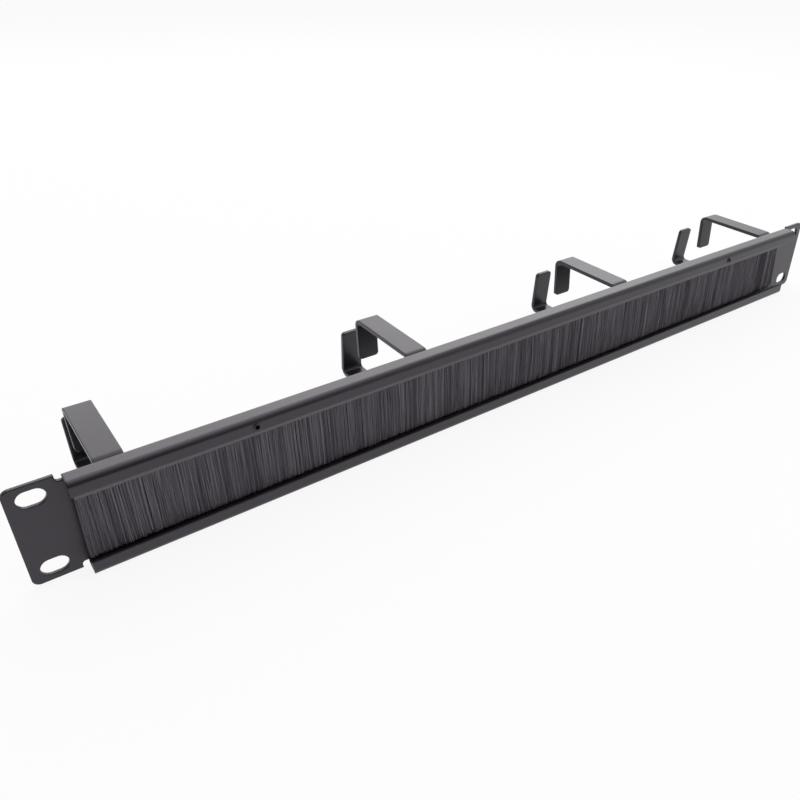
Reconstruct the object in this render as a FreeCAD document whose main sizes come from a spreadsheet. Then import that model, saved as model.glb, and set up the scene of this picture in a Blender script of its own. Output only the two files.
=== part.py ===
"""Rack brush strip panel, one unit high, for a 19-inch rack.

A folded steel front panel carries a brush strip inside its top fold, and four cable rings of bent flat
steel behind it. X runs along the panel, Y points into the rack and Z is up. The origin is the middle of
the ears' rear faces, the faces that seat on the rack's rails. Lengths are in millimetres.
"""

import FreeCAD, Part
import math
import os

import Sketcher

SIZES = {
    # front panel: folded from one sheet
    "panel_width": 482.6,
    "panel_height": 43.7,
    "sheet_thickness": 1.5,
    "bend_radius": 1.0,
    "top_flange_depth": 9.5,
    "top_lip_height": 6.0,
    "bottom_flange_depth": 9.2,
    "bottom_lip_height": 6.6,
    "ear_width": 19.8,
    "relief_width": 2.4,
    "relief_depth": 2.7,
    "relief_corner_radius": 1.2,
    "ear_corner_radius": 3.0,
    # rack slots, two in each ear
    "slot_side_distance": 8.75,
    "slot_top_distance": 5.975,
    "slot_length": 10.0,
    "slot_width": 7.0,
    # windows behind the bristles, with a web between two of them where a ring is welded on
    "window_end_margin": 31.0,
    "window_top_margin": 9.85,
    "window_bottom_margin": 9.35,
    "window_corner_radius": 3.0,
    "web_width": 20.0,
    # brush strip
    "brush_left_gap": 1.0,
    "brush_right_gap": 10.0,
    "holder_depth": 5.8,
    "holder_height": 6.4,
    "holder_wall": 1.4,
    "holder_corner_radius": 1.2,
    "holder_top_gap": 0.4,
    "holder_fold_gap": 0.1,
    "core_wire_diameter": 1.2,
    "core_wire_drop": 4.6,
    "filament_fold_radius": 1.4,
    "bristle_length": 28.1,
    "bristle_tip_depth": 3.8,
    "bristle_left_splay": 1.4,
    "bristle_right_splay": 4.7,
    "tuft_count": 180.0,
    "tuft_groove_width": 0.9,
    "tuft_groove_depth": 0.7,
    # holes for the two small fasteners that hold the brush strip in the fold
    "fixing_hole_end_distance": 69.5,
    "fixing_hole_edge_distance": 2.3,
    "fixing_hole_diameter": 2.5,
    "fixing_hole_depth": 2.5,
    # cable rings of bent flat strip
    "ring_end_distance": 16.5,
    "ring_strip_width": 11.0,
    "ring_strip_thickness": 2.0,
    "ring_bend_radius": 2.0,
    "ring_edge_gap": 1.6,
    "ring_top_depth": 48.4,
    "ring_bottom_depth": 66.7,
    "down_tongue_height": 22.65,
    "down_tongue_lean": 0.9,
    "up_tongue_height": 25.6,
    "up_tongue_lean": 2.5,
    "tongue_corner_radius": 1.8,
}

RING_COUNT = 4

doc = FreeCAD.newDocument("BrushPanel")
sheet = doc.addObject("Spreadsheet::Sheet", "Sizes")
for row, (alias, number) in enumerate(SIZES.items(), start=1):
    sheet.set(f"A{row}", alias)
    sheet.set(f"B{row}", str(number))
    sheet.setAlias(f"B{row}", alias)
doc.recompute()


class Size:
    """A number with the text that binds it to the sheet, so that one sum gives both."""

    def __init__(self, number, text):
        self.number = number
        self.text = text

    def __add__(self, other):
        other = as_size(other)
        return Size(self.number + other.number, f"({self.text} + {other.text})")

    def __sub__(self, other):
        other = as_size(other)
        return Size(self.number - other.number, f"({self.text} - {other.text})")

    def __mul__(self, other):
        other = as_size(other)
        return Size(self.number * other.number, f"({self.text} * {other.text})")

    def __truediv__(self, other):
        other = as_size(other)
        return Size(self.number / other.number, f"({self.text} / {other.text})")

    def __neg__(self):
        return Size(-self.number, f"(0 - {self.text})")


def as_size(value):
    return value if isinstance(value, Size) else Size(float(value), f"{value}")


def size(alias):
    """The sheet's value with this alias."""
    return Size(float(sheet.get(alias)), f"{sheet.Name}.{alias}")


def bind(thing, name, value):
    """Sets a property, such as a length, and ties it to the sheet."""
    thing.setExpression(name, as_size(value).text)


def new_body(label):
    body = doc.addObject("PartDesign::Body", label)
    body.Label = label
    return body


def origin_feature(body, role):
    return next(item for item in body.Origin.OriginFeatures if item.Role == role)


def new_sketch(body, name, plane, offset=None):
    """A sketch on one of the body's own origin planes, or on a plane parallel to it."""
    sketch = body.newObject("Sketcher::SketchObject", name)
    sketch.AttachmentSupport = [(origin_feature(body, plane), "")]
    sketch.MapMode = "FlatFace"
    if offset is not None:
        bind(sketch, ".AttachmentOffset.Base.z", offset)
    return sketch


def pin_point(sketch, geometry, end, across, up):
    """Places a point of the sketch at a distance from the origin along both axes."""
    for kind, value in (("DistanceX", across), ("DistanceY", up)):
        index = sketch.addConstraint(Sketcher.Constraint(kind, -1, 1, geometry, end, value.number))
        sketch.setExpression(f"Constraints[{index}]", value.text)


def add_outline(sketch, corners):
    """Closed outline of straight lines through the corners, each corner given as two sizes."""
    points = [FreeCAD.Vector(across.number, up.number, 0) for across, up in corners]
    lines = []
    for start, end in zip(points, points[1:] + points[:1]):
        lines.append(sketch.addGeometry(Part.LineSegment(start, end)))
    for line, following in zip(lines, lines[1:] + lines[:1]):
        sketch.addConstraint(Sketcher.Constraint("Coincident", line, 2, following, 1))
    for line, (across, up) in zip(lines, corners):
        pin_point(sketch, line, 1, across, up)
    return lines


def add_circle(sketch, across, up, radius):
    centre = FreeCAD.Vector(across.number, up.number, 0)
    circle = sketch.addGeometry(Part.Circle(centre, FreeCAD.Vector(0, 0, 1), radius.number))
    pin_point(sketch, circle, 3, across, up)
    index = sketch.addConstraint(Sketcher.Constraint("Radius", circle, radius.number))
    sketch.setExpression(f"Constraints[{index}]", radius.text)


def add_slot(sketch, across, up, length, width):
    """Slot with round ends along the sketch's first axis, centred on the point."""
    radius = width / 2
    reach = (length - width) / 2
    normal = FreeCAD.Vector(0, 0, 1)
    ends = []
    for side, first, last in ((1, -90, 90), (-1, 90, 270)):
        centre = FreeCAD.Vector(across.number + side * reach.number, up.number, 0)
        circle = Part.Circle(centre, normal, radius.number)
        arc = Part.ArcOfCircle(circle, math.radians(first), math.radians(last))
        ends.append(sketch.addGeometry(arc))
    right, left = ends
    above, below = up.number + radius.number, up.number - radius.number
    near, far = across.number - reach.number, across.number + reach.number
    top = sketch.addGeometry(Part.LineSegment(FreeCAD.Vector(far, above, 0), FreeCAD.Vector(near, above, 0)))
    bottom = sketch.addGeometry(Part.LineSegment(FreeCAD.Vector(near, below, 0), FreeCAD.Vector(far, below, 0)))
    for first, first_end, second, second_end in (
        (right, 2, top, 1),
        (top, 2, left, 1),
        (left, 2, bottom, 1),
        (bottom, 2, right, 1),
    ):
        sketch.addConstraint(Sketcher.Constraint("Tangent", first, first_end, second, second_end))
    pin_point(sketch, right, 3, across + reach, up)
    pin_point(sketch, left, 3, across - reach, up)
    index = sketch.addConstraint(Sketcher.Constraint("Radius", right, radius.number))
    sketch.setExpression(f"Constraints[{index}]", radius.text)


def add_bent_strip(sketch, path, thickness, side):
    """Outline of a bent strip whose outer face follows the path.

    side is 1 where the strip lies left of the path. Returns the inner face's corners, where the bends'
    inner edges will be.
    """
    outer = [FreeCAD.Vector(across.number, up.number, 0) for across, up in path]
    directions = [(end - start).normalize() for start, end in zip(outer, outer[1:])]
    normals = [FreeCAD.Vector(-way.y, way.x, 0) * side for way in directions]
    inner = [outer[0] + normals[0] * thickness.number]
    for corner, before, after in zip(outer[1:-1], normals, normals[1:]):
        mitre = before + after
        inner.append(corner + mitre * (thickness.number * 2 / mitre.dot(mitre)))
    inner.append(outer[-1] + normals[-1] * thickness.number)

    outer_lines = [sketch.addGeometry(Part.LineSegment(a, b)) for a, b in zip(outer, outer[1:])]
    inner_lines = [sketch.addGeometry(Part.LineSegment(a, b)) for a, b in zip(inner, inner[1:])]
    first_end = sketch.addGeometry(Part.LineSegment(inner[0], outer[0]))
    last_end = sketch.addGeometry(Part.LineSegment(outer[-1], inner[-1]))
    for chain in (outer_lines, inner_lines):
        for line, following in zip(chain, chain[1:]):
            sketch.addConstraint(Sketcher.Constraint("Coincident", line, 2, following, 1))
    for first, first_point, second, second_point in (
        (first_end, 2, outer_lines[0], 1),
        (first_end, 1, inner_lines[0], 1),
        (last_end, 1, outer_lines[-1], 2),
        (last_end, 2, inner_lines[-1], 2),
    ):
        sketch.addConstraint(Sketcher.Constraint("Coincident", first, first_point, second, second_point))
    for line, (across, up) in zip(outer_lines, path):
        pin_point(sketch, line, 1, across, up)
    pin_point(sketch, outer_lines[-1], 2, *path[-1])
    sketch.addConstraint(Sketcher.Constraint("Perpendicular", first_end, outer_lines[0]))
    sketch.addConstraint(Sketcher.Constraint("Perpendicular", last_end, outer_lines[-1]))
    for outer_line, inner_line in zip(outer_lines, inner_lines):
        sketch.addConstraint(Sketcher.Constraint("Parallel", outer_line, inner_line))
        distance = Sketcher.Constraint("Distance", inner_line, 1, outer_line, thickness.number)
        index = sketch.addConstraint(distance)
        sketch.setExpression(f"Constraints[{index}]", thickness.text)
    return inner[1:-1]


def pad(body, name, sketch, length, symmetric=False, reversed_side=False):
    feature = body.newObject("PartDesign::Pad", name)
    feature.Profile = sketch
    feature.SideType = "Symmetric" if symmetric else "One side"
    feature.Reversed = reversed_side
    bind(feature, "Length", length)
    doc.recompute()
    return feature


def pocket(body, name, sketch, length, symmetric=False, reversed_side=False):
    """Cuts the sketch out of the body, and stops the build if nothing was removed."""
    before = body.Shape.Volume
    feature = body.newObject("PartDesign::Pocket", name)
    feature.Profile = sketch
    feature.SideType = "Symmetric" if symmetric else "One side"
    feature.Reversed = reversed_side
    bind(feature, "Length", length)
    doc.recompute()
    if body.Shape.Volume >= before:
        raise RuntimeError(f"{name} removed nothing")
    return feature


def pattern(body, name, feature, direction, length, count):
    """Repeats a feature along one of the body's axes, over the length from first to last."""
    repeat = body.newObject("PartDesign::LinearPattern", name)
    repeat.Originals = [feature]
    repeat.Direction = (origin_feature(body, direction), [""])
    repeat.Mode = "Extent"
    bind(repeat, "Length", length)
    bind(repeat, "Occurrences", count)
    body.Tip = repeat
    return repeat


def edges_along(shape, axis, points):
    """Names of the straight edges that run along the axis through any of the points."""
    names = []
    for number, edge in enumerate(shape.Edges, start=1):
        if edge.Curve.TypeId != "Part::GeomLine" or abs(edge.Curve.Direction.dot(axis)) < 0.9999:
            continue
        offset = [edge.Vertexes[0].Point - point for point in points]
        if any((gap - axis * gap.dot(axis)).Length < 0.001 for gap in offset):
            names.append(f"Edge{number}")
    return names


def round_edges(body, name, axis, points, radius):
    """Fillets every edge along the axis that passes through one of the points."""
    base = body.Tip
    fillet = body.newObject("PartDesign::Fillet", name)
    fillet.Base = (base, edges_along(base.Shape, axis, points))
    bind(fillet, "Radius", radius)
    doc.recompute()
    return fillet


ALONG_X = FreeCAD.Vector(1, 0, 0)
ALONG_Y = FreeCAD.Vector(0, 1, 0)


def section_points(corners):
    """Corners of a cross-section, drawn across Y and up Z, as points in space."""
    return [FreeCAD.Vector(0, corner.x, corner.y) for corner in corners]


def bent_strip_body(body, path, thickness, width, side, inner_radius):
    """Strip of the given width across X, bent along the path, with round bends inside and out."""
    sketch = new_sketch(body, "StripOutline", "YZ_Plane")
    inner_corners = add_bent_strip(sketch, path, thickness, side)
    outer_corners = [FreeCAD.Vector(across.number, up.number, 0) for across, up in path[1:-1]]
    pad(body, "Strip", sketch, width, symmetric=True)
    round_edges(body, "InnerBends", ALONG_X, section_points(inner_corners), inner_radius)
    round_edges(body, "OuterBends", ALONG_X, section_points(outer_corners), inner_radius + thickness)


# Places that several pieces share. The ears' rear faces lie at Y = 0, and the top lip hangs in front of the
# face at the edge of the top flange.
half_height = size("panel_height") / 2
lip_front = -size("top_flange_depth")
lip_rear = lip_front + size("sheet_thickness")
lip_edge = half_height - size("top_lip_height")
side_edge = size("panel_width") / 2
flange_end = side_edge - size("ear_width")
fold_ceiling = half_height - size("sheet_thickness")
holder_top = fold_ceiling - size("holder_top_gap")
holder_bottom = holder_top - size("holder_height")
holder_rear = lip_rear + size("holder_depth")
brush_middle = lip_rear + size("holder_depth") / 2
brush_start = -flange_end + size("brush_left_gap")
brush_end = flange_end - size("brush_right_gap")
core_wire_height = holder_top - size("core_wire_drop")
filament_grip = size("holder_depth") / 2 - size("holder_wall")
filament_fold_top = core_wire_height + filament_grip
bristle_tips = holder_bottom - size("bristle_length")
fixing_height = lip_edge + size("fixing_hole_edge_distance")
fixing_end = flange_end - size("fixing_hole_end_distance")
ring_pitch = (flange_end - size("ring_end_distance")) * 2 / (RING_COUNT - 1)
zero = as_size(0)


def build_front_panel():
    """One sheet: the face between two flanges that end in lips, with flat ears at both ends."""
    body = new_body("front_panel")
    bottom_lip_front = -size("bottom_flange_depth")
    folded = [
        (lip_front, lip_edge),
        (lip_front, half_height),
        (zero, half_height),
        (zero, -half_height),
        (bottom_lip_front, -half_height),
        (bottom_lip_front, size("bottom_lip_height") - half_height),
    ]
    bent_strip_body(
        body, folded, size("sheet_thickness"), flange_end * 2, side=-1, inner_radius=size("bend_radius")
    )

    # the flat face, from ear to ear, with a relief notch where each flange ends
    ear_inner = flange_end + size("relief_width")
    relief_floor = half_height - size("relief_depth")
    face = new_sketch(body, "FaceOutline", "XZ_Plane")
    add_outline(
        face,
        [
            (-side_edge, -half_height),
            (-ear_inner, -half_height),
            (-ear_inner, -relief_floor),
            (ear_inner, -relief_floor),
            (ear_inner, -half_height),
            (side_edge, -half_height),
            (side_edge, half_height),
            (ear_inner, half_height),
            (ear_inner, relief_floor),
            (-ear_inner, relief_floor),
            (-ear_inner, half_height),
            (-side_edge, half_height),
        ],
    )
    pad(body, "Face", face, size("sheet_thickness"))
    ear_corners = [
        FreeCAD.Vector(x * side_edge.number, 0, z * half_height.number) for x in (-1, 1) for z in (-1, 1)
    ]
    round_edges(body, "EarCorners", ALONG_Y, ear_corners, size("ear_corner_radius"))
    relief_corners = [
        FreeCAD.Vector(x * ear_inner.number, 0, z * relief_floor.number) for x in (-1, 1) for z in (-1, 1)
    ]
    round_edges(body, "ReliefCorners", ALONG_Y, relief_corners, size("relief_corner_radius"))

    # rack slots: one slot, repeated along and up the ears
    slot = new_sketch(body, "SlotOutline", "XZ_Plane")
    slot_middle = side_edge - size("slot_side_distance")
    slot_height = half_height - size("slot_top_distance")
    add_slot(slot, -slot_middle, -slot_height, size("slot_length"), size("slot_width"))
    first_slot = pocket(body, "RackSlot", slot, size("sheet_thickness") * 3, symmetric=True)
    slots = pattern(body, "RackSlots", first_slot, "X_Axis", slot_middle * 2, 2)
    slots.Direction2 = (origin_feature(body, "Z_Axis"), [""])
    slots.Mode2 = "Extent"
    bind(slots, "Length2", slot_height * 2)
    slots.Occurrences2 = 2

    # cable windows behind the bristles
    windows = new_sketch(body, "WindowOutlines", "XZ_Plane")
    window_end = flange_end - size("window_end_margin")
    window_top = half_height - size("window_top_margin")
    window_bottom = size("window_bottom_margin") - half_height
    web_inner = (ring_pitch - size("web_width")) / 2
    web_outer = (ring_pitch + size("web_width")) / 2
    window_corners = []
    for left, right in ((-window_end, -web_outer), (-web_inner, web_inner), (web_outer, window_end)):
        corners = [
            (left, window_bottom),
            (right, window_bottom),
            (right, window_top),
            (left, window_top),
        ]
        add_outline(windows, corners)
        window_corners += [FreeCAD.Vector(across.number, 0, up.number) for across, up in corners]
    pocket(body, "CableWindows", windows, size("sheet_thickness") * 3, symmetric=True)
    round_edges(body, "WindowCorners", ALONG_Y, window_corners, size("window_corner_radius"))

    # holes for the brush strip's fasteners, through the top lip alone
    lip_hole = new_sketch(body, "LipHoleOutline", "XZ_Plane", offset=-lip_rear)
    add_circle(lip_hole, -fixing_end, fixing_height, size("fixing_hole_diameter") / 2)
    first_hole = pocket(body, "LipHole", lip_hole, size("sheet_thickness") * 2, reversed_side=True)
    pattern(body, "LipHoles", first_hole, "X_Axis", fixing_end * 2, 2)
    return body


def build_brush_holder():
    """Channel that grips the folded filaments. Its solid head is fastened behind the top lip."""
    body = new_body("brush_holder")
    slot_front = lip_rear + size("holder_wall")
    slot_rear = holder_rear - size("holder_wall")
    slot_top = filament_fold_top + size("holder_fold_gap")
    sketch = new_sketch(body, "ChannelOutline", "YZ_Plane", offset=brush_start)
    add_outline(
        sketch,
        [
            (lip_rear, holder_bottom),
            (slot_front, holder_bottom),
            (slot_front, slot_top),
            (slot_rear, slot_top),
            (slot_rear, holder_bottom),
            (holder_rear, holder_bottom),
            (holder_rear, holder_top),
            (lip_rear, holder_top),
        ],
    )
    pad(body, "Channel", sketch, brush_end - brush_start)
    top_corners = [FreeCAD.Vector(0, across.number, holder_top.number) for across in (lip_rear, holder_rear)]
    round_edges(body, "ChannelCorners", ALONG_X, top_corners, size("holder_corner_radius"))

    hole = new_sketch(body, "FixingHoleOutline", "XZ_Plane", offset=-lip_rear)
    add_circle(hole, -fixing_end, fixing_height, size("fixing_hole_diameter") / 2)
    first_hole = pocket(body, "FixingHole", hole, size("fixing_hole_depth"))
    pattern(body, "FixingHoles", first_hole, "X_Axis", fixing_end * 2, 2)
    return body


def build_core_wire():
    """Wire that the filaments are folded over, inside the holder."""
    wire = doc.addObject("Part::Cylinder", "brush_core_wire")
    wire.Label = "brush_core_wire"
    bind(wire, "Radius", size("core_wire_diameter") / 2)
    bind(wire, "Height", brush_end - brush_start)
    wire.Placement = FreeCAD.Placement(FreeCAD.Vector(0, 0, 0), FreeCAD.Rotation(ALONG_Y, 90))
    bind(wire, ".Placement.Base.x", brush_start)
    bind(wire, ".Placement.Base.y", brush_middle)
    bind(wire, ".Placement.Base.z", core_wire_height)
    return wire


def build_bristles():
    """Curtain of filaments, folded round the core wire and spreading into tufts below the holder."""
    body = new_body("brush_bristles")
    tip = size("bristle_tip_depth") / 2
    left_end = brush_start - size("bristle_left_splay")
    right_end = brush_end + size("bristle_right_splay")
    section = new_sketch(body, "CurtainOutline", "YZ_Plane", offset=left_end)
    add_outline(
        section,
        [
            (brush_middle - tip, bristle_tips),
            (brush_middle + tip, bristle_tips),
            (brush_middle + filament_grip, holder_bottom),
            (brush_middle + filament_grip, filament_fold_top),
            (brush_middle - filament_grip, filament_fold_top),
            (brush_middle - filament_grip, holder_bottom),
        ],
    )
    add_circle(section, brush_middle, core_wire_height, size("core_wire_diameter") / 2)
    pad(body, "Curtain", section, right_end - left_end)
    fold_corners = [
        FreeCAD.Vector(0, (brush_middle + filament_grip * side).number, filament_fold_top.number)
        for side in (-1, 1)
    ]
    round_edges(body, "FilamentFold", ALONG_X, fold_corners, size("filament_fold_radius"))

    # the ends are square inside the holder and splay outwards below it
    ends = new_sketch(body, "EndCuts", "XZ_Plane")
    for square_end, splayed_end in ((brush_start, left_end), (brush_end, right_end)):
        add_outline(
            ends,
            [
                (splayed_end, bristle_tips),
                (square_end, holder_bottom),
                (square_end, filament_fold_top + size("holder_fold_gap")),
                (splayed_end, filament_fold_top + size("holder_fold_gap")),
            ],
        )
    pocket(body, "SplayedEnds", ends, size("holder_depth") * 4, symmetric=True)

    # a groove between two tufts on each side, repeated along the curtain
    groove = new_sketch(body, "TuftGroove", "XY_Plane", offset=bristle_tips)
    tuft_pitch = (brush_end - brush_start) / size("tuft_count")
    first_groove = brush_start + tuft_pitch
    half_groove = size("tuft_groove_width") / 2
    for side in (-1, 1):
        surface = brush_middle + tip * side
        add_outline(
            groove,
            [
                (first_groove - half_groove, surface),
                (first_groove, surface - size("tuft_groove_depth") * side),
                (first_groove + half_groove, surface),
            ],
        )
    first_gap = pocket(body, "TuftGap", groove, size("bristle_length"), reversed_side=True)
    gap_count = size("tuft_count") - 1
    pattern(body, "TuftGaps", first_gap, "X_Axis", tuft_pitch * (gap_count - 1), gap_count)
    return body


def build_cable_ring(number):
    """Flat strip bent into an open ring: leg, top strip and down tongue, then bottom strip and up tongue."""
    body = new_body(f"cable_ring_{number}")
    top = half_height - size("ring_edge_gap")
    bottom = -top
    down_tip = top - size("down_tongue_height")
    up_tip = bottom + size("up_tongue_height")
    path = [
        (size("ring_top_depth") - size("down_tongue_lean"), down_tip),
        (size("ring_top_depth"), top),
        (zero, top),
        (zero, bottom),
        (size("ring_bottom_depth"), bottom),
        (size("ring_bottom_depth") - size("up_tongue_lean"), up_tip),
    ]
    bent_strip_body(
        body,
        path,
        size("ring_strip_thickness"),
        size("ring_strip_width"),
        side=1,
        inner_radius=size("ring_bend_radius"),
    )
    tip_names = []
    base = body.Tip
    for index, edge in enumerate(base.Shape.Edges, start=1):
        middle = edge.CenterOfMass
        across_thickness = abs(edge.Length - size("ring_strip_thickness").number) < 0.001
        at_side = abs(abs(middle.x) - size("ring_strip_width").number / 2) < 0.001
        at_tip = min(abs(middle.z - down_tip.number), abs(middle.z - up_tip.number)) < 0.5
        if across_thickness and at_side and at_tip and edge.Curve.TypeId == "Part::GeomLine":
            tip_names.append(f"Edge{index}")
    rounding = body.newObject("PartDesign::Fillet", "TongueCorners")
    rounding.Base = (base, tip_names)
    bind(rounding, "Radius", size("tongue_corner_radius"))
    bind(body, ".Placement.Base.x", ring_pitch * (number - (RING_COUNT + 1) / 2))
    doc.recompute()
    return body


pieces = [build_front_panel(), build_brush_holder(), build_core_wire(), build_bristles()]
for ring_number in range(1, RING_COUNT + 1):
    pieces.append(build_cable_ring(ring_number))
doc.recompute()

for item in doc.Objects:
    if "Invalid" in item.State or "Error" in item.State:
        raise RuntimeError(f"{item.Label} failed: {item.State}")
os.makedirs("parts", exist_ok=True)
for piece in pieces:
    shape = piece.Shape
    if shape.isNull() or not shape.isValid() or len(shape.Solids) != 1:
        raise RuntimeError(f"{piece.Label} is not one valid solid")
    shape.exportStep(os.path.join("parts", f"{piece.Label}.step"))
    print(f"{piece.Label}: {shape.Volume:.1f} cubic mm")
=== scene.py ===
import math

import bmesh
import bpy
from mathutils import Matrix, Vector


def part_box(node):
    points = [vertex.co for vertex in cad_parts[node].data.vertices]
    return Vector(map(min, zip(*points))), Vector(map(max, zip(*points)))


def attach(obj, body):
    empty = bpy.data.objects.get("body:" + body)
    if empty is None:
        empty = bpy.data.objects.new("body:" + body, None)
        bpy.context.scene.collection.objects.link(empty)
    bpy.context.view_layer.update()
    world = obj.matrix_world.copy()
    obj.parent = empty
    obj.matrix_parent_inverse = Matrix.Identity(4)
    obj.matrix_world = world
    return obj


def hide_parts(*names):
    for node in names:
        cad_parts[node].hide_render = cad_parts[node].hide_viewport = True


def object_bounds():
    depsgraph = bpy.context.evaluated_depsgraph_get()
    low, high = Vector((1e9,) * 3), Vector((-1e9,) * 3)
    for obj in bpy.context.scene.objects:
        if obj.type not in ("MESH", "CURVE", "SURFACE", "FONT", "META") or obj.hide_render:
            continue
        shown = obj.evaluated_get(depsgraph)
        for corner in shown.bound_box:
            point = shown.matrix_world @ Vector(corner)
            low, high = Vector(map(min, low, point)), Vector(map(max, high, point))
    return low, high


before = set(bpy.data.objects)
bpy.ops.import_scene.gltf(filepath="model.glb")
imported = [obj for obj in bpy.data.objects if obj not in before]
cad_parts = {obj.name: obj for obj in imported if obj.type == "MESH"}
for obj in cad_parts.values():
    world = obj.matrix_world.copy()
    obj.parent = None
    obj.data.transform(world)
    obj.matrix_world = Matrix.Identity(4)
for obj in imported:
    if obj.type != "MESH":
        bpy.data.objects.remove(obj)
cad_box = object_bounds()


# Front panel: one sheet of 1.5 mm steel, folded to a C with a lip at the edge of each flange and flat ears
# at both ends. It is powder-coated after folding, so the black satin skin rounds the cut edges and follows
# every slot, with a fine grain and slightly uneven gloss.
class Wire:
    """A node's output that Python's operators can carry on from."""

    def __init__(self, socket):
        self.socket = socket

    @staticmethod
    def add(tree, kind, inputs=None, output=0, stops=None, **settings):
        """Adds a node: its settings first, then the values or links of its sockets."""
        node = tree.nodes.new(kind)
        for name, value in settings.items():
            setattr(node, name, value)
        for number, (place, shade) in enumerate(stops or []):
            elements = node.color_ramp.elements
            element = elements[number] if number < 2 else elements.new(place)
            element.position = place
            element.color = (shade, shade, shade, 1)
        for name, value in (inputs or {}).items():
            if isinstance(value, Wire):
                tree.links.new(value.socket, node.inputs[name])
            else:
                node.inputs[name].default_value = value
        return Wire(node.outputs[output])

    def math(self, operation, first, second):
        return Wire.add(self.socket.id_data, "ShaderNodeMath", {0: first, 1: second}, operation=operation)

    def __add__(self, other):
        return self.math("ADD", self, other)

    def __radd__(self, other):
        return self.math("ADD", other, self)

    def __sub__(self, other):
        return self.math("SUBTRACT", self, other)

    def __rsub__(self, other):
        return self.math("SUBTRACT", other, self)

    def __mul__(self, other):
        return self.math("MULTIPLY", self, other)

    def __rmul__(self, other):
        return self.math("MULTIPLY", other, self)

    def __truediv__(self, other):
        return self.math("DIVIDE", self, other)

    def __pow__(self, other):
        return self.math("POWER", self, other)


MM = 0.001
coat_dark, coat_light = (0.0132, 0.0118, 0.0148), (0.0205, 0.0186, 0.0225)
coat_sheen = (1.0, 0.94, 1.04, 1.0)
coat_grain, coat_ripple, coat_patches = 2600.0, 420.0, 34.0
coat_grain_height = 0.04 * MM
coat_rounding = 0.9 * MM


def new_finish(name, **constants):
    """A material with its nodes: returns it, its tree and its main shader."""
    material = bpy.data.materials.new(name)
    material.use_nodes = True
    shader = material.node_tree.nodes["Principled BSDF"]
    for socket, value in constants.items():
        shader.inputs[socket.replace("_", " ")].default_value = value
    return material, material.node_tree, shader


def noise(tree, place, scale, detail):
    return Wire.add(tree, "ShaderNodeTexNoise", {"Vector": place, "Scale": scale, "Detail": detail})


def tint(tree, dark, light, share):
    """A colour between the two, by a share from 0 to 1."""
    colours = {"Factor": share, "A": (*dark, 1), "B": (*light, 1)}
    return Wire.add(tree, "ShaderNodeMix", colours, output="Result", data_type="RGBA")


def powder_coat(name, seed, gloss=0.6):
    """Black satin powder coat, baked on, with a slightly purple sheen."""
    material, tree, shader = new_finish(name, Specular_IOR_Level=gloss, Specular_Tint=coat_sheen)
    place = Wire.add(tree, "ShaderNodeTexCoord", output="Object")
    place = Wire.add(tree, "ShaderNodeMapping", {"Vector": place, "Location": (seed, 0, 0)})
    grain = noise(tree, place, coat_grain, 2.0)
    ripple = noise(tree, place, coat_ripple, 1.0)
    patches = noise(tree, place, coat_patches, 3.0)
    colour = tint(tree, coat_dark, coat_light, patches * 0.7 + grain * 0.3)
    tree.links.new(colour.socket, shader.inputs["Base Color"])
    tree.links.new((0.22 + patches * 0.12 + grain * 0.08).socket, shader.inputs["Roughness"])
    rounded = Wire.add(tree, "ShaderNodeBevel", {"Radius": coat_rounding}, samples=8)
    skin = {
        "Strength": 0.3,
        "Distance": coat_grain_height,
        "Height": grain * 0.6 + ripple,
        "Normal": rounded,
    }
    bumps = Wire.add(tree, "ShaderNodeBump", skin, output="Normal")
    tree.links.new(bumps.socket, shader.inputs["Normal"])
    return material


def finish_node(node, material):
    """Gives a solid of the frame its finish."""
    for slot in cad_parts[node].material_slots:
        slot.material = material


finish_node("front_panel", powder_coat("panel powder coat", 0.0))

# Four cable rings, each bent from one flat steel strip of 11 by 2 mm with rounded tongue ends.
# They are spot-welded to the panel's rear face before the coating, so they carry the same black skin,
# which comes out a little duller on them than on the panel.
ring_coat = powder_coat("ring powder coat", 0.3, gloss=0.5)
for number in range(1, 5):
    finish_node(f"cable_ring_{number}", ring_coat)

# Brush holder, an extruded aluminium channel inside the top fold, anodised black.
# Fine lines along its length come from the extrusion die.
anodised_dark, anodised_light = (0.085, 0.083, 0.088), (0.135, 0.132, 0.14)
anodised, tree, shader = new_finish("black anodised aluminium", Metallic=0.9)
place = Wire.add(tree, "ShaderNodeTexCoord", output="Object")
drawn_out = Wire.add(tree, "ShaderNodeMapping", {"Vector": place, "Scale": (12.0, 3000.0, 3000.0)})
die_lines = noise(tree, drawn_out, 1.0, 2.0)
tree.links.new((0.28 + die_lines * 0.2).socket, shader.inputs["Roughness"])
colour = tint(tree, anodised_dark, anodised_light, die_lines)
tree.links.new(colour.socket, shader.inputs["Base Color"])
finish_node("brush_holder", anodised)

# Core wire that the filaments are folded over, drawn steel of 1.2 mm.
# Only its two cut ends show, in the middle of the fold.
steel_dark, steel_light = (0.36, 0.36, 0.37), (0.46, 0.46, 0.47)
drawn_steel, tree, shader = new_finish("drawn steel", Metallic=1.0)
place = Wire.add(tree, "ShaderNodeTexCoord", output="Object")
saw_marks = noise(tree, place, 3000.0, 3.0)
tree.links.new((0.22 + saw_marks * 0.25).socket, shader.inputs["Roughness"])
colour = tint(tree, steel_dark, steel_light, saw_marks)
tree.links.new(colour.socket, shader.inputs["Base Color"])
finish_node("brush_core_wire", drawn_steel)

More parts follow.
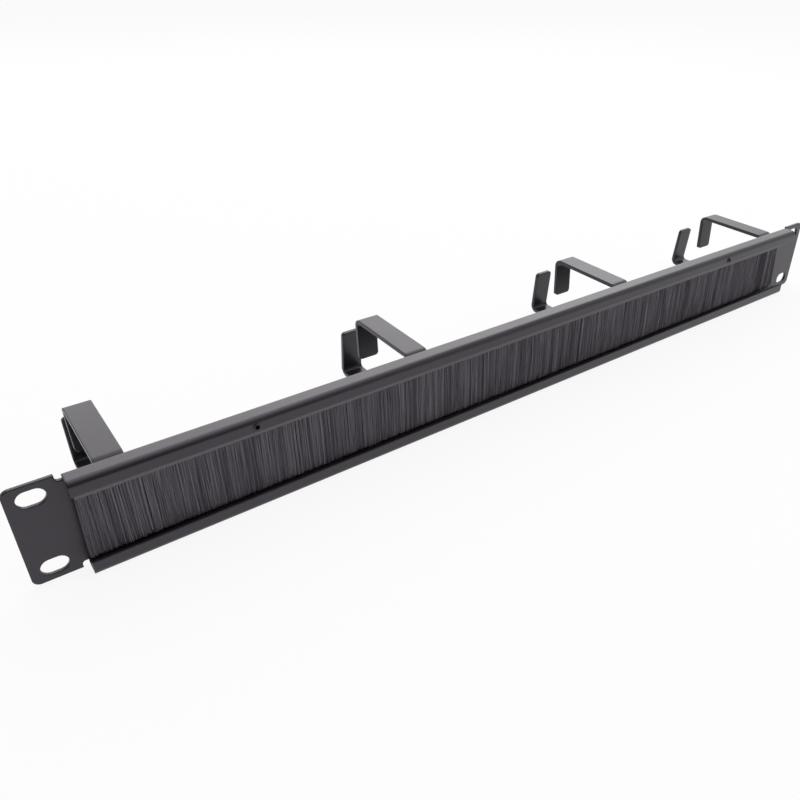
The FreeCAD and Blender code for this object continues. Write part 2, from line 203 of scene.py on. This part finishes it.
# Bristles: black nylon filaments of 0.24 mm, folded over the core wire and gripped by the holder.
# They hang nearly straight, with small bundles that cling together, spread at both ends of the brush, and
# are cut to one length, a little unevenly.
curtain_low, curtain_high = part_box("brush_bristles")
wire_low, wire_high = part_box("brush_core_wire")
brush_left, brush_right = wire_low[0], wire_high[0]
brush_middle = (wire_low[1] + wire_high[1]) / 2
wire_height = (wire_low[2] + wire_high[2]) / 2
tips = curtain_low[2]
left_splay = brush_left - curtain_low[0]
right_splay = curtain_high[0] - brush_right
grip_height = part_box("brush_holder")[0][2]

# One filament, and how many stand in a layer between the two ends.
filament_radius = 0.12 * MM
filament_bow = 0.12 * MM
filaments_per_layer = 11500
left_margin, right_margin = 0.3 * MM, 3.0 * MM
root_cover = 1.0 * MM
root_height = grip_height + root_cover
root_half_depth = 1.4 * MM

# How far a tip leans out of line, with the bundles counted by the metre.
left_splay_reach, right_splay_reach = 14 * MM, 28 * MM
splay_margin = 0.5 * MM
wide_bundles, wide_bundle_lean = 260.0, 0.4 * MM
fine_bundles, fine_bundle_lean = 1400.0, 0.6 * MM
single_lean = 0.5 * MM
tip_spread = 1.25
tip_scatter = 0.1 * MM

# How unevenly the tips are cut.
tip_overhang = 0.6 * MM
tip_raggedness = 2.2 * MM
tip_waves, tip_wave_height = 500.0, 0.5 * MM

# The thin spot near the right end.
bald_place, bald_width = 195.5 * MM, 3.6 * MM
bald_lean = 1.6 * MM
bald_share = 0.97

nylon_dark, nylon_light = (0.055, 0.049, 0.06), (0.25, 0.224, 0.268)
nylon, tree, shader = new_finish("black nylon")
shade = Wire.add(tree, "ShaderNodeAttribute", output="Fac", attribute_name="shade")
place = Wire.add(tree, "ShaderNodeTexCoord", output="Object")
hanging = Wire.add(tree, "ShaderNodeMapping", {"Vector": place, "Scale": (900.0, 900.0, 60.0)})
streaks = noise(tree, hanging, 1.0, 2.0)
colour = tint(tree, nylon_dark, nylon_light, shade * 0.75 + streaks * 0.25)
tree.links.new(colour.socket, shader.inputs["Base Color"])
tree.links.new((0.34 + shade * 0.2).socket, shader.inputs["Roughness"])


def filament_shape():
    """One filament of unit length, hanging from the origin with a slight bow."""
    points, faces = [], []
    for drop, bow, width in ((0.0, 0.0, 1.0), (0.45, 1.0, 1.0), (1.0, 0.0, 0.7)):
        for corner in range(3):
            turn = math.tau * corner / 3
            across = filament_radius * width * math.cos(turn) + filament_bow * bow
            points.append((across, filament_radius * width * math.sin(turn), -drop))
    for ring in (0, 3):
        for corner in range(3):
            beside = (corner + 1) % 3
            faces.append((ring + corner, ring + 3 + corner, ring + 3 + beside, ring + beside))
    faces += [(0, 1, 2), (8, 7, 6)]
    mesh = bpy.data.meshes.new("filament")
    mesh.from_pydata(points, [], faces)
    return mesh


def open_tree(name, kinds):
    """A tree of geometry nodes with named inputs: returns it, their identifiers and their wires."""
    tree = bpy.data.node_groups.new(name, "GeometryNodeTree")
    sockets = {
        label: tree.interface.new_socket(label, in_out="INPUT", socket_type="NodeSocket" + kind).identifier
        for label, kind in kinds.items()
    }
    tree.interface.new_socket("Geometry", in_out="OUTPUT", socket_type="NodeSocketGeometry")
    source = tree.nodes.new("NodeGroupInput")
    return tree, sockets, {label: Wire(source.outputs[label]) for label in kinds}


def close_tree(tree, copies, finish):
    """Makes the copies real, gives them their finish and ends the tree."""
    real = Wire.add(tree, "GeometryNodeRealizeInstances", {"Geometry": copies})
    finished = Wire.add(tree, "GeometryNodeSetMaterial", {"Geometry": real, "Material": finish})
    target = tree.nodes.new("NodeGroupOutput")
    tree.links.new(finished.socket, target.inputs["Geometry"])


def filament_tree(filament):
    """Filaments at random places in one layer of the brush, leaning in small bundles."""
    kinds = {
        "Count": "Int",
        "Seed": "Int",
        "Left": "Float",
        "Right": "Float",
        "Front": "Float",
        "Rear": "Float",
        "Finish": "Material",
    }
    tree, sockets, given = open_tree("filament layer", kinds)

    def vector(x, y, z):
        return Wire.add(tree, "ShaderNodeCombineXYZ", {0: x, 1: y, 2: z})

    def chance(lowest, highest, number):
        limits = {2: lowest, 3: highest, "Seed": given["Seed"] * 10 + number}
        return Wire.add(tree, "FunctionNodeRandomValue", limits, output=1, data_type="FLOAT")

    along = given["Left"] + (given["Right"] - given["Left"]) * chance(0.0, 1.0, 1)
    depth = given["Front"] + (given["Rear"] - given["Front"]) * chance(0.0, 1.0, 2)
    roots = Wire.add(
        tree,
        "GeometryNodePoints",
        {"Count": given["Count"], "Position": vector(along, brush_middle + depth, root_height)},
    )

    # Neighbours lean alike, because their lean follows a noise along the brush.
    where = Wire.add(tree, "GeometryNodeInputPosition")
    apart = Wire.add(tree, "ShaderNodeSeparateXYZ", {0: where}).socket.node.outputs
    x, y = Wire(apart[0]), Wire(apart[1])

    def bundle(per_metre, shift):
        walk = {"W": x * per_metre + given["Seed"] * shift, "Scale": 1.0, "Detail": 1.0}
        return Wire.add(tree, "ShaderNodeTexNoise", walk, noise_dimensions="1D") - 0.5

    def nearness(distance):
        return Wire.add(tree, "ShaderNodeMath", {0: 1 - distance, 1: 0.0}, operation="MAXIMUM")

    near_left = nearness((x - brush_left) / left_splay_reach)
    near_right = nearness((brush_right - x) / right_splay_reach)
    splay = near_right ** 2 * (right_splay - splay_margin) - near_left ** 2 * (left_splay - splay_margin)
    lean = bundle(wide_bundles, 9) * wide_bundle_lean + bundle(fine_bundles, 5) * fine_bundle_lean
    lean = lean + chance(-single_lean, single_lean, 3)
    sideways = splay + lean * (1 - near_right) * (1 - near_left)

    # Most filaments of one tuft near the right end are lost, and its neighbours lean into the gap.
    off = (x - bald_place) / bald_width
    nearby = (1 + off ** 4) ** -1
    bald = nearby * bald_share
    sideways = sideways - off * nearby * bald_lean
    standing = Wire.add(
        tree,
        "GeometryNodeDeleteGeometry",
        {"Geometry": roots, "Selection": bald.math("GREATER_THAN", bald, chance(0.0, 1.0, 9))},
    )

    outwards = (y - brush_middle) * (tip_spread - 1) + chance(-tip_scatter, tip_scatter, 4)
    cut_short = chance(0.05, 1.0, 5) ** 2 * tip_raggedness
    cut_short = cut_short + (bundle(tip_waves, 3) + 0.5) * tip_wave_height
    length = root_height - tips + tip_overhang - cut_short
    turn = Wire.add(
        tree,
        "FunctionNodeAxesToRotation",
        {
            "Primary Axis": vector(sideways * -1, outwards * -1, length),
            "Secondary Axis": vector(chance(-1.0, 1.0, 6), chance(-1.0, 1.0, 7), 0.0),
        },
        primary_axis="Z",
        secondary_axis="X",
    )
    copied = Wire.add(tree, "GeometryNodeObjectInfo", {"Object": filament}, output="Geometry")
    filaments = Wire.add(
        tree,
        "GeometryNodeInstanceOnPoints",
        {"Points": standing, "Instance": copied, "Rotation": turn, "Scale": vector(1.0, 1.0, length)},
    )
    shaded = Wire.add(
        tree,
        "GeometryNodeStoreNamedAttribute",
        {"Geometry": filaments, "Name": "shade", "Value": chance(0.0, 1.0, 8)},
        data_type="FLOAT",
        domain="INSTANCE",
    )
    close_tree(tree, shaded, given["Finish"])
    return tree, sockets


def grow(name, tree, sockets, values):
    """Runs the nodes once and keeps the result as a plain mesh piece."""
    seed = bpy.data.objects.new(name + "_seed", bpy.data.meshes.new(name + "_seed"))
    bpy.context.scene.collection.objects.link(seed)
    modifier = seed.modifiers.new("nodes", "NODES")
    modifier.node_group = tree
    for key, value in values.items():
        modifier[sockets[key]] = value
    mesh = bpy.data.meshes.new_from_object(seed.evaluated_get(bpy.context.evaluated_depsgraph_get()))
    mesh.name = name
    bpy.data.objects.remove(seed)
    piece = bpy.data.objects.new(name, mesh)
    bpy.context.scene.collection.objects.link(piece)
    return piece


filament = bpy.data.objects.new("filament", filament_shape())
layer_tree, layer_sockets = filament_tree(filament)
for name, front, rear, seed in (
    ("bristles_front", -1.0, -0.3, 11),
    ("bristles_middle", -0.5, 0.5, 17),
    ("bristles_rear", 0.3, 1.0, 23),
):
    layer = {
        "Count": filaments_per_layer,
        "Seed": seed,
        "Left": brush_left + left_margin,
        "Right": brush_right - right_margin,
        "Front": front * root_half_depth,
        "Rear": rear * root_half_depth,
        "Finish": nylon,
    }
    piece = grow(name, layer_tree, layer_sockets, layer)
    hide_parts("brush_bristles")
    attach(piece, "root")
bpy.data.objects.remove(filament)

# Fold of the same filaments over the core wire, packed tight inside the holder.
# It reads as one finely ribbed roll, seen only from the ends of the channel.
fold_radius = 1.47 * MM
fold_ribs = 12
rib_share = 0.03
fold_inset = 0.05 * MM
outline = []
for step in range(2 * fold_ribs + 1):
    turn = math.pi * step / (2 * fold_ribs)
    reach = fold_radius * (1 - rib_share * (step % 2))
    outline.append((brush_middle + reach * math.cos(turn), wire_height + reach * math.sin(turn)))
outline += [(brush_middle - fold_radius, grip_height), (brush_middle + fold_radius, grip_height)]
fold = bmesh.new()
left_ring, right_ring = (
    [fold.verts.new((x, y, z)) for y, z in outline]
    for x in (brush_left + fold_inset, brush_right - fold_inset)
)
for here, beside in zip(range(len(outline)), [*range(1, len(outline)), 0]):
    fold.faces.new((left_ring[here], left_ring[beside], right_ring[beside], right_ring[here]))
fold.faces.new(left_ring[::-1])
fold.faces.new(right_ring)
bmesh.ops.recalc_face_normals(fold, faces=fold.faces)
fold_mesh = bpy.data.meshes.new("bristle_fold")
fold.to_mesh(fold_mesh)
fold.free()
fold_mesh.materials.append(nylon)
piece = bpy.data.objects.new("bristle_fold", fold_mesh)
bpy.context.scene.collection.objects.link(piece)
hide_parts("brush_bristles")
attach(piece, "root")

# Two small blind rivets that hold the brush holder behind the top lip, black like the panel.
# Each has a low domed head of 3.7 mm on the lip, with the open hole of its drawn mandrel in the middle.
rivet_head = 1.85 * MM
rivet_rise = 0.45 * MM
rivet_hole = 0.95 * MM
rivet_hole_depth = 2.4 * MM
rivet_shank = 1.2 * MM
rivet_reach = 3.9 * MM
rivet_spacing = 304.0 * MM
rivet_height = 18.15 * MM
lip_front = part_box("front_panel")[0][1]
rivet_profile = [
    (rivet_reach, 0.0),
    (rivet_reach, rivet_shank),
    (0.0, rivet_shank),
    (0.0, rivet_head),
    (-0.3 * rivet_rise, rivet_head),
    (-0.75 * rivet_rise, rivet_head * 0.88),
    (-rivet_rise, rivet_head * 0.68),
    (-rivet_rise, rivet_hole * 1.1),
    (-0.85 * rivet_rise, rivet_hole),
    (rivet_hole_depth, rivet_hole),
    (rivet_hole_depth, 0.0),
]
rivet_sides = 28
rivet_dark, rivet_light = (0.01, 0.01, 0.011), (0.024, 0.024, 0.025)

rivet_black, tree, shader = new_finish("rivet black")
place = Wire.add(tree, "ShaderNodeTexCoord", output="Object")
scuffs = noise(tree, place, 1800.0, 3.0)
tree.links.new((0.28 + scuffs * 0.2).socket, shader.inputs["Roughness"])
tree.links.new(tint(tree, rivet_dark, rivet_light, scuffs).socket, shader.inputs["Base Color"])

rivet = bmesh.new()
rings = []
for depth, radius in rivet_profile:
    turns = [math.tau * step / rivet_sides for step in range(rivet_sides if radius else 1)]
    places = [(radius * math.cos(turn), depth, radius * math.sin(turn)) for turn in turns]
    rings.append([rivet.verts.new(place) for place in places])
for first, second in zip(rings, rings[1:]):
    for step in range(rivet_sides):
        beside = step + 1
        corners = [first[step % len(first)], second[step % len(second)]]
        corners += [second[beside % len(second)], first[beside % len(first)]]
        rivet.faces.new(list(dict.fromkeys(corners)))
bmesh.ops.recalc_face_normals(rivet, faces=rivet.faces)
rivet_mesh = bpy.data.meshes.new("rivet")
rivet.to_mesh(rivet_mesh)
rivet.free()
rivet_model = bpy.data.objects.new("rivet", rivet_mesh)

kinds = {"Spacing": "Float", "Height": "Float", "Finish": "Material"}
rivet_tree, rivet_sockets, given = open_tree("rivet pair", kinds)
left_place = {0: given["Spacing"] * -0.5, 1: lip_front, 2: given["Height"]}
left_end = Wire.add(rivet_tree, "ShaderNodeCombineXYZ", left_place)
to_right_end = Wire.add(rivet_tree, "ShaderNodeCombineXYZ", {0: given["Spacing"]})
line = {"Count": 2, "Start Location": left_end, "Offset": to_right_end}
ends = Wire.add(rivet_tree, "GeometryNodeMeshLine", line)
model = Wire.add(rivet_tree, "GeometryNodeObjectInfo", {"Object": rivet_model}, output="Geometry")
pair = Wire.add(rivet_tree, "GeometryNodeInstanceOnPoints", {"Points": ends, "Instance": model})
close_tree(rivet_tree, pair, given["Finish"])
piece = grow(
    "holder_rivets",
    rivet_tree,
    rivet_sockets,
    {"Spacing": rivet_spacing, "Height": rivet_height, "Finish": rivet_black},
)
bpy.data.objects.remove(rivet_model)
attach(piece, "root")

# Studio floor of white paper under the panel. It looks white to the camera and in the panel's reflections,
# and keeps only a faint shadow.
floor_height = cad_box[0][2] - 0.2 * MM
floor_half_width = 6
floor_whiteness = 0.9
floor_corners = [
    (across * floor_half_width, along * floor_half_width, floor_height)
    for across, along in ((-1, -1), (1, -1), (1, 1), (-1, 1))
]
floor_mesh = bpy.data.meshes.new("floor")
floor_mesh.from_pydata(floor_corners, [], [(0, 1, 2, 3)])
paper = bpy.data.materials.new("white paper")
paper.use_nodes = True
tree = paper.node_tree
tree.nodes.clear()
rays = Wire.add(tree, "ShaderNodeLightPath").socket.node.outputs
to_camera, to_gloss = Wire(rays["Is Camera Ray"]), Wire(rays["Is Glossy Ray"])
seen = to_camera.math("MAXIMUM", to_camera, to_gloss)
matte = Wire.add(tree, "ShaderNodeBsdfDiffuse", {"Color": (0.88, 0.88, 0.88, 1)})
glow = Wire.add(tree, "ShaderNodeEmission", {"Color": (1, 1, 1, 1), "Strength": 1.0})
mixed = Wire.add(tree, "ShaderNodeMixShader", {0: seen * floor_whiteness, 1: matte, 2: glow})
surface = tree.nodes.new("ShaderNodeOutputMaterial")
tree.links.new(mixed.socket, surface.inputs["Surface"])
floor_mesh.materials.append(paper)
floor = bpy.data.objects.new("floor", floor_mesh)
bpy.context.scene.collection.objects.link(floor)

# White surround, which only the camera sees. The room that lights the panel is dark behind the camera and
# bright in its rear half, so the folds are drawn by their reflections. Its ramp's two ends come first.
room_strength = 2.1
room_ramp = [
    (0.0, 0.0),
    (1.0, 1.0),
    (0.25, 0.005),
    (0.34, 0.18),
    (0.46, 0.34),
    (0.6, 0.38),
    (0.75, 0.4),
    (0.88, 0.7),
]
world = bpy.data.worlds.new("studio")
world.use_nodes = True
bpy.context.scene.world = world
tree = world.node_tree
tree.nodes.clear()
rays = Wire.add(tree, "ShaderNodeLightPath").socket.node.outputs
way = Wire.add(tree, "ShaderNodeTexCoord", output="Generated")
apart = Wire.add(tree, "ShaderNodeSeparateXYZ", {0: way}).socket.node.outputs
to_right, to_rear, upwards = Wire(apart[0]), Wire(apart[1]), Wire(apart[2])
away = to_right * 0.9 + to_rear * 0.8 + upwards * 0.4
room = Wire.add(tree, "ShaderNodeValToRGB", {0: away * 0.4 + 0.4}, stops=room_ramp)
lit_room = Wire.add(tree, "ShaderNodeBackground", {"Color": room, "Strength": room_strength})
white = Wire.add(tree, "ShaderNodeBackground", {"Color": (1, 1, 1, 1), "Strength": 1.0})
both = Wire.add(tree, "ShaderNodeMixShader", {0: Wire(rays["Is Camera Ray"]), 1: lit_room, 2: white})
surface = tree.nodes.new("ShaderNodeOutputWorld")
tree.links.new(both.socket, surface.inputs["Surface"])


# Two softboxes over the rear of the table and one at the front right, aimed at the middle of the panel and
# unseen by the camera. The one at the front only fills the brush, so the sheet's fold doesn't mirror it.
def softbox(name, place, width, height, power, mirrored=True):
    data = bpy.data.lights.new(name, "AREA")
    data.shape = "RECTANGLE"
    data.size, data.size_y, data.energy = width, height, power
    lamp = bpy.data.objects.new(name, data)
    bpy.context.scene.collection.objects.link(lamp)
    lamp.location = place
    tilt = math.atan2(math.hypot(place[0], place[1]), place[2])
    lamp.rotation_euler = (tilt, 0, math.atan2(-place[1], -place[0]) - math.pi / 2)
    lamp.visible_camera = False
    lamp.visible_glossy = mirrored


softbox("rear_softbox", (0.4, 1.0, 0.9), 1.8, 1.0, 8.0)
softbox("top_softbox", (0.1, 0.15, 1.2), 0.9, 0.6, 2.0)
softbox("right_softbox", (1.2, -0.75, 0.35), 1.0, 0.7, 6.0, mirrored=False)

# Camera at the photograph's viewing angle, placed by the slots, flanges and rings that show there.
# A small shift brings the panel to its place in the frame.
camera_data = bpy.data.cameras.new("camera")
camera_data.sensor_width = 36
camera_data.lens = 34.07
camera_data.shift_x = -0.0806
camera_data.shift_y = -0.0071
camera_data.clip_start = 0.01
camera = bpy.data.objects.new("camera", camera_data)
bpy.context.scene.collection.objects.link(camera)
camera.location = (-0.23906, -0.25283, 0.18896)
camera.rotation_euler = [math.radians(turn) for turn in (57.967, -1.094, -37.358)]
bpy.context.scene.camera = camera
bpy.context.scene.view_settings.view_transform = "Standard"
